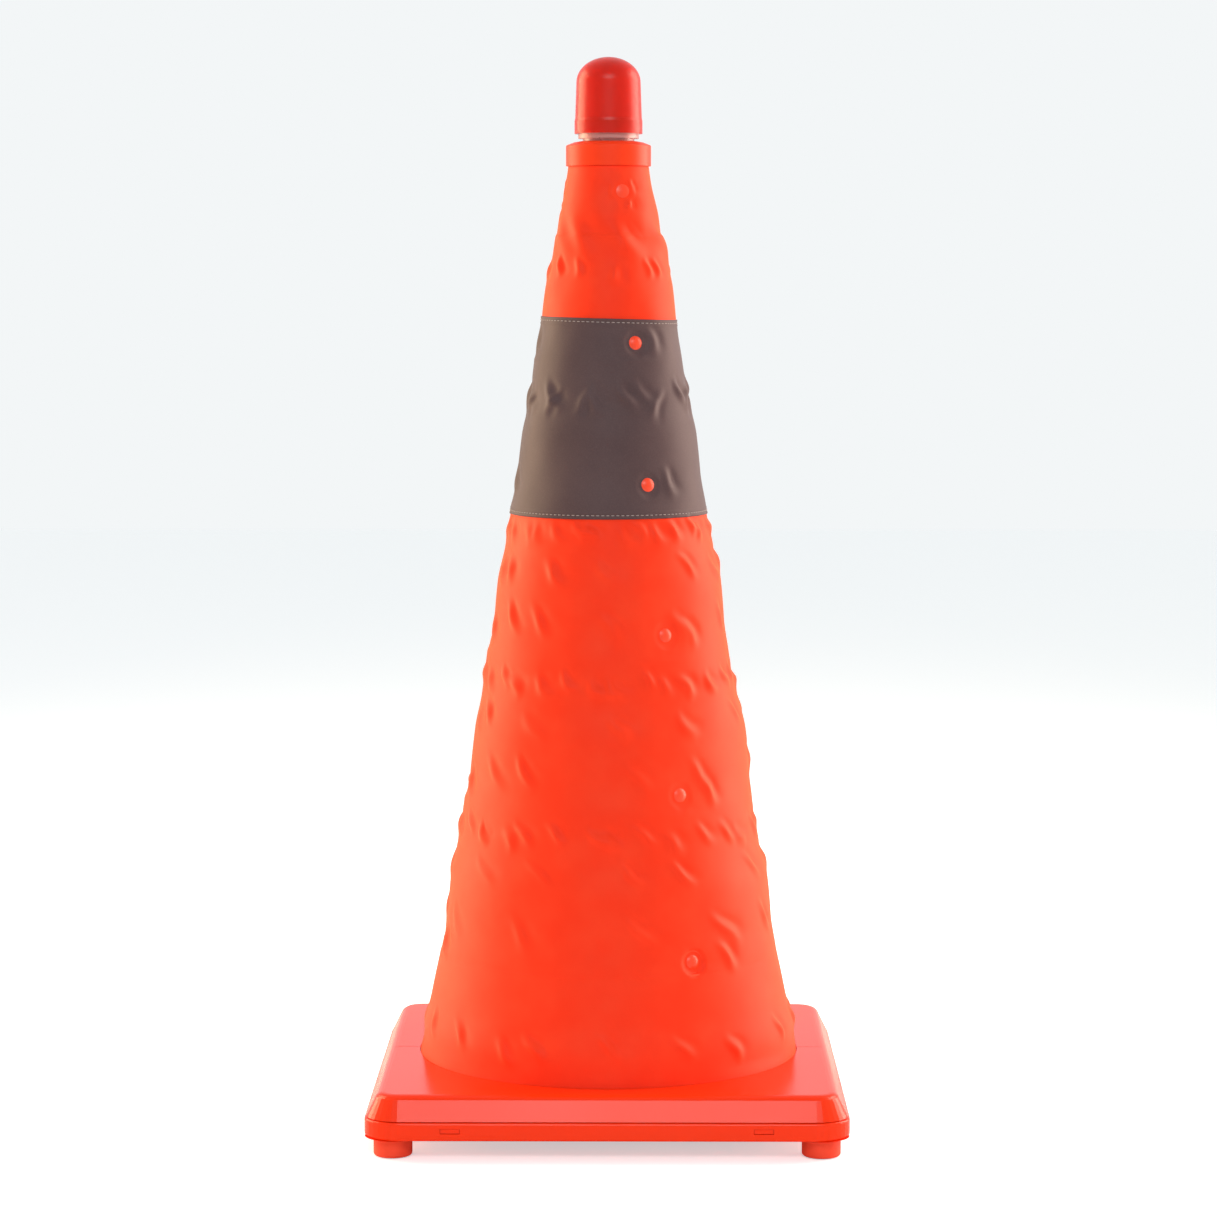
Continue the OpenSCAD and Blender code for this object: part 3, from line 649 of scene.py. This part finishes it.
@dataclass
class ClothWork:
    cover: Cover
    band_zones: tuple[int, ...] = (2, 3, 4)
    tuck: float = 4 * MM
    band_over: float = 4 * MM
    band_proud: float = 0.55 * MM
    seam_in: float = 2.6 * MM
    seam_slope: float = 1.3 * MM
    hold_below: float = 7 * MM

    def circle(self, columns: int) -> np.ndarray:
        """Turns of the columns, starting at the back so that the joint lies there."""
        return -math.pi + np.arange(columns) * 2 * math.pi / columns

    def columns(self, zone: int) -> int:
        """Columns round a zone: more where the cone is wide."""
        return 480 if zone < 4 else 640 if zone < 8 else 800

    def lay(self, piece: bpy.types.Object, zone: int) -> None:
        """Attaches the lowest zone's piece to the root; any other piece only has its transform baked into its mesh.
        """
        f = self.cover.frame
        if zone == f.count - 1:
            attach(piece, "root")
            return
        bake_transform(piece)

    def declare(self,
                nodes: tuple[str, ...]) -> None:
        """Hides the construction nodes that the piece replaces."""
        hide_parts(*nodes)

    def orange(self, zone: int, top: float, bottom: float) -> bpy.types.Object:
        """Makes one zone of the orange cover."""
        heights = self.cover.rows(top, bottom)
        turns = self.circle(self.columns(zone))
        t, z = np.meshgrid(turns, heights)
        radius = self.cover.surface(t, z)
        piece = grid_piece(f"cover_{zone + 1:02d}", turns, heights, radius, Stock.OXFORD)
        self.declare((f"cloth_{zone + 1:02d}",))
        self.lay(piece, zone)
        return piece

    def band(self, zone: int, top: float, bottom: float, cut_top: bool, cut_bottom: bool) -> bpy.types.Object:
        """Makes one zone of the band: proud of the cover, with hemmed, stitched-down cut edges."""
        heights = self.cover.rows(top, bottom)
        if cut_top:
            heights = np.concatenate([[top, top], heights[1:]])
        if cut_bottom:
            heights = np.concatenate([heights[:-1], [bottom, bottom]])
        turns = self.circle(self.columns(zone))
        t, z = np.meshgrid(turns, heights)
        if cut_top:
            z = z - self.edge_dip(t) * smooth(1 - (top - z) / (14 * MM))
        proud = np.full(len(heights), self.band_proud)
        for cut, edge, sign in ((cut_top, top, 1), (cut_bottom, bottom, -1)):
            if cut:
                into = sign * (edge - heights)
                proud += 0.3 * MM * (1 - smooth((into - 4.5 * MM) / (1.0 * MM)))
                proud -= 0.42 * MM * np.exp(-((into - self.seam_in) / (0.9 * MM)) ** 2)
                proud[0 if sign > 0 else -1] = -0.1 * MM
        radius = self.cover.surface(t, z) + proud[:, None] * self.clear_of_rivets(t, z)
        piece = grid_piece(f"band_{zone + 1:02d}", turns, z, radius, Stock.TAPE)
        self.declare((f"cloth_{zone + 1:02d}_band",))
        self.lay(piece, zone)
        return piece

    def edge_dip(self, turns: np.ndarray) -> np.ndarray:
        """Fall of the upper seam towards the right: a sine of the turn."""
        return self.seam_slope * np.sin(turns)

    def clear_of_rivets(self, turns: np.ndarray, heights: np.ndarray) -> np.ndarray:
        """One on open cloth, falling to zero on the rivets' seats."""
        share = np.ones_like(turns)
        base = self.cover.plain(heights)
        for ring in self.cover.frame.rivets.values():
            for rivet in ring:
                far = np.hypot(*rivet.away(turns, heights, base))
                share = np.minimum(share, smooth((far - self.cover.seat_in) / (4 * MM)))
        return share

    def stitches(self, name: str, height: float, body: str, zone: int) -> bpy.types.Object:
        """Makes a ring of lock stitches: each a short thread whose ends dip into the cloth.

        Along a stitch the thread's middle line rises by the square root of a half wave; round it lies a
        hexagon whose size shrinks at both ends.
        """
        length, gap, thick = 2.7 * MM, 0.8 * MM, 0.34 * MM
        around = 2 * math.pi * float(self.cover.plain(np.array([height]))[0])
        count = int(around / (length + gap))
        along = np.linspace(-0.5, 0.5, 7)
        angle = np.arange(6) * math.pi / 3
        centre = np.arange(count) * 2 * math.pi / count
        s = along[None, :, None] + 0 * centre[:, None, None]
        turn = centre[:, None, None] + s * length / (around / (2 * math.pi))
        swell = thick * np.sqrt(np.clip(1 - (2 * along[None, :, None]) ** 2, 0.02, 1))
        line = height - (self.edge_dip(turn) if zone == self.band_zones[0] else 0 * turn)
        z = line + swell * np.sin(angle)[None, None, :]
        ground = self.cover.surface(turn, line) + self.band_proud - 0.05 * MM
        radius = ground - 0.25 * MM + 0.45 * MM * np.sqrt(np.clip(np.cos(math.pi * s), 0, 1)) \
            + swell * np.cos(angle)[None, None, :]
        turn = turn + 0 * radius
        points = np.stack([radius * np.sin(turn), -radius * np.cos(turn), z + 0 * radius], -1).reshape(-1, 3)
        n, a, b = np.meshgrid(np.arange(count), np.arange(6), np.arange(6), indexing="ij")
        at = lambda p, q: n * 42 + p * 6 + q % 6
        sides = np.stack([at(a, b), at(a, b + 1), at(a + 1, b + 1), at(a + 1, b)], -1).reshape(-1, 4)
        first = (np.arange(count) * 42)[:, None] + np.arange(6)
        faces = sides.tolist() + first[:, ::-1].tolist() + (first + 36).tolist()
        mesh = bpy.data.meshes.new(name)
        mesh.from_pydata(points, [], faces)
        mesh.polygons.foreach_set("use_smooth", np.ones(len(faces), bool))
        mesh.update()
        piece = bpy.data.objects.new(name, mesh)
        bpy.context.scene.collection.objects.link(piece)
        mesh.materials.append(Stock.THREAD.value.material())
        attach(piece, body)
        LOG.info("%s: %d stitches", name, count)
        return piece

    def build(self) -> None:
        """Lays every zone from the collar down to the hem."""
        f = self.cover.frame
        band_top = float(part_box("cloth_03_band")[1][2])
        band_low = f.rim_z[5] - self.band_over
        cloth_top = float(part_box("cloth_01")[1][2])
        hem_low = float(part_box("cloth_12")[0][2])
        for zone in range(f.count):
            top = cloth_top if zone == 0 else f.rim_z[zone]
            bottom = f.rim_z[zone + 1] if zone < f.count - 1 else hem_low
            if zone not in self.band_zones:
                self.orange(zone, top, bottom)
            elif zone == 2:
                self.orange(zone, top, band_top - self.tuck)
                self.band(zone, band_top, bottom, True, False)
            else:
                last = zone == self.band_zones[-1]
                self.band(zone, top, band_low if last else bottom, False, last)
        self.stitches("band_stitches_upper", band_top - self.seam_in, body_of_zone(2), 2)
        self.stitches("band_stitches_lower", band_low + self.seam_in, body_of_zone(5), 5)


# ---- studio ----


@dataclass
class Studio:
    """Pale floor, soft boxes left and right, and the camera."""

    distance: float = 2.58075
    side: float = 0.018
    height: float = 0.60589
    pitch: float = 5.2997
    lens: float = 105.72
    sensor: float = 36.0
    floor_size: float = 6.0
    backdrop: str = "#F3F6F7"
    ambient: float = 0.42
    floor_lift: float = 0.55

    def camera(self) -> None:
        """Aims the camera at the cone's axis from in front, a little above its middle."""
        data = bpy.data.cameras.new("camera")
        data.lens, data.sensor_width = self.lens, self.sensor
        eye = bpy.data.objects.new("camera", data)
        bpy.context.scene.collection.objects.link(eye)
        place = Vector((self.side, -self.distance, self.height))
        target = Vector((0, 0, self.height - math.tan(self.pitch * DEG) * self.distance))
        eye.location = place
        eye.rotation_mode = "QUATERNION"
        eye.rotation_quaternion = (target - place).to_track_quat("-Z", "Y")
        bpy.context.scene.camera = eye

    def lamp(self, name: str, place: tuple[float, float, float], size: tuple[float, float], power: float,
             colour: str = "#FFFFFF") -> None:
        """Hangs one soft box that faces the middle of the cone."""
        data = bpy.data.lights.new(name, "AREA")
        data.shape = "RECTANGLE"
        data.size, data.size_y = size
        data.energy = power
        data.color = linear(colour)[:3]
        box = bpy.data.objects.new(name, data)
        bpy.context.scene.collection.objects.link(box)
        box.location = place
        box.rotation_mode = "QUATERNION"
        box.rotation_quaternion = (Vector((0, 0, 0.35)) - Vector(place)).to_track_quat("-Z", "Y")

    def world(self) -> None:
        """Dim white light all round; the camera, gloss and clear plastic see plain white."""
        world = bpy.data.worlds.new("studio")
        world.use_nodes = True
        tree = world.node_tree
        tree.nodes.clear()
        path = add(tree, "LightPath")
        clear = add(tree, "Math", {"operation": "MAXIMUM"},
                    {0: path.outputs["Is Camera Ray"], 1: path.outputs["Is Transmission Ray"]})
        seen = add(tree, "Math", {"operation": "MAXIMUM"},
                   {0: clear.outputs[0], 1: path.outputs["Is Glossy Ray"]})
        level = add(tree, "MapRange", {"To Min": self.ambient, "To Max": 1.0}, {"Value": seen.outputs[0]})
        light = add(tree, "Background", {"Color": linear(self.backdrop)}, {"Strength": level.outputs[0]})
        add(tree, "OutputWorld", links={"Surface": light.outputs[0]})
        bpy.context.scene.world = world

    def floor(self) -> None:
        """Lays the pale floor, which the camera sees as near white with the cone's soft shadow."""
        half = self.floor_size
        mesh = bpy.data.meshes.new("floor")
        mesh.from_pydata([(-half, -half, 0), (half, -half, 0), (half, half, 0), (-half, half, 0)], [], [(0, 1, 2, 3)])
        floor = bpy.data.objects.new("floor", mesh)
        bpy.context.scene.collection.objects.link(floor)
        floor.location = (0, 0, -0.0005)
        mesh.materials.append(self.floor_paint())

    def floor_paint(self) -> bpy.types.Material:
        """Matt paint that the camera sees lifted to the backdrop's white, with the cone's shadow left on it."""
        paint = Finish("matt_floor_paint", self.backdrop, 0.9).material()
        tree = paint.node_tree
        output = next(n for n in tree.nodes if n.type == "OUTPUT_MATERIAL")
        shader = next(n for n in tree.nodes if n.type == "BSDF_PRINCIPLED")
        path = add(tree, "LightPath")
        seen = add(tree, "Math", {"operation": "MULTIPLY", 1: self.floor_lift}, {0: path.outputs["Is Camera Ray"]})
        glow = add(tree, "Emission", {"Color": linear(self.backdrop)}, {"Strength": seen.outputs[0]})
        both = add(tree, "AddShader", {}, {0: shader.outputs[0], 1: glow.outputs[0]})
        tree.links.new(both.outputs[0], output.inputs["Surface"])
        return paint

    def build(self) -> None:
        """Sets the whole studio."""
        self.camera()
        self.world()
        self.floor()
        self.lamp("box_left", (-1.5, 0.55, 0.8), (1.1, 1.8), 46, "#FFE4B8")
        self.lamp("box_right", (1.5, 0.55, 0.8), (1.1, 1.8), 46, "#FFE6D4")
        self.lamp("box_front", (0.1, -2.6, 2.0), (1.4, 0.8), 30)
        bpy.context.scene.view_settings.view_transform = "Standard"


def main() -> None:
    """Builds the studio, the cloth and the finishes in order."""
    logging.basicConfig(level=logging.INFO, format="%(name)s: %(message)s")
    Studio().build()
    dress_nodes()
    ClothWork(Cover(Frame())).build()


if __name__ == "__main__":
    main()
